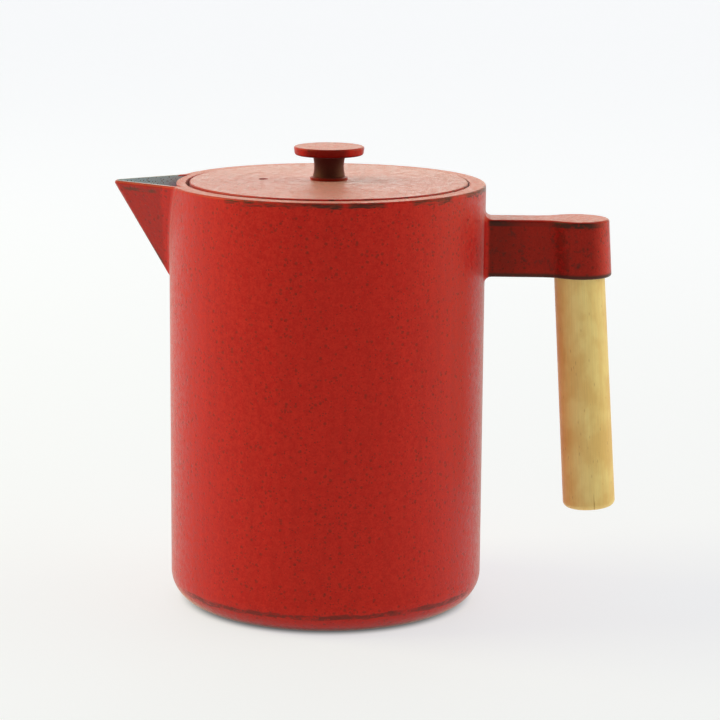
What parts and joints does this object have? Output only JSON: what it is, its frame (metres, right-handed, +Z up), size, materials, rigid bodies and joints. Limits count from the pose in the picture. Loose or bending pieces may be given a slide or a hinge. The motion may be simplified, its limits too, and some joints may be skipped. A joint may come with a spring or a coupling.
{
  "type": "cast iron teapot",
  "caption": "Straight-sided cast iron teapot with an open V spout, a drop-in lid with a mushroom knob, a side arm with a turned wooden grip, and a tea basket inside.",
  "frame": {"origin": "centre of the pot's flat foot, on its round axis", "axes": "+Z up along the pot's axis, +X towards the arm and grip, so the spout points along -X"},
  "size_m": [0.1765, 0.11, 0.1605],
  "materials": {
    "red_iron": "matte red patina over grey iron, fine sandy grain, worn to black along the edges; black enamel inside",
    "maple": "oiled, fine straight grain",
    "stainless": "satin sheet",
    "zinc_steel": "zinc plated, turned"
  },
  "bodies": {
    "pot": {"pot_body": "red_iron", "wooden_grip": "maple", "grip_screw": "zinc_steel", "grip_washer": "zinc_steel"},
    "lid_assembly": {"lid": "red_iron", "lid_knob": "red_iron", "knob_screw": "zinc_steel", "knob_washer": "zinc_steel"},
    "basket": {"infuser_collar": "stainless", "infuser_wall": "stainless", "infuser_base": "stainless"}
  },
  "joints": [
    {"name": "lid_lift", "type": "slide", "parent": "pot", "child": "lid_assembly", "axis": [0, 0, 1], "range_m": [0, 0.22]},
    {"name": "basket_lift", "type": "slide", "parent": "pot", "child": "basket", "axis": [0, 0, 1], "range_m": [0, 0.11]}
  ],
  "couplings": [
    {"joint": "basket_lift", "follows": "lid_lift", "ratio": 0.5}
  ]
}
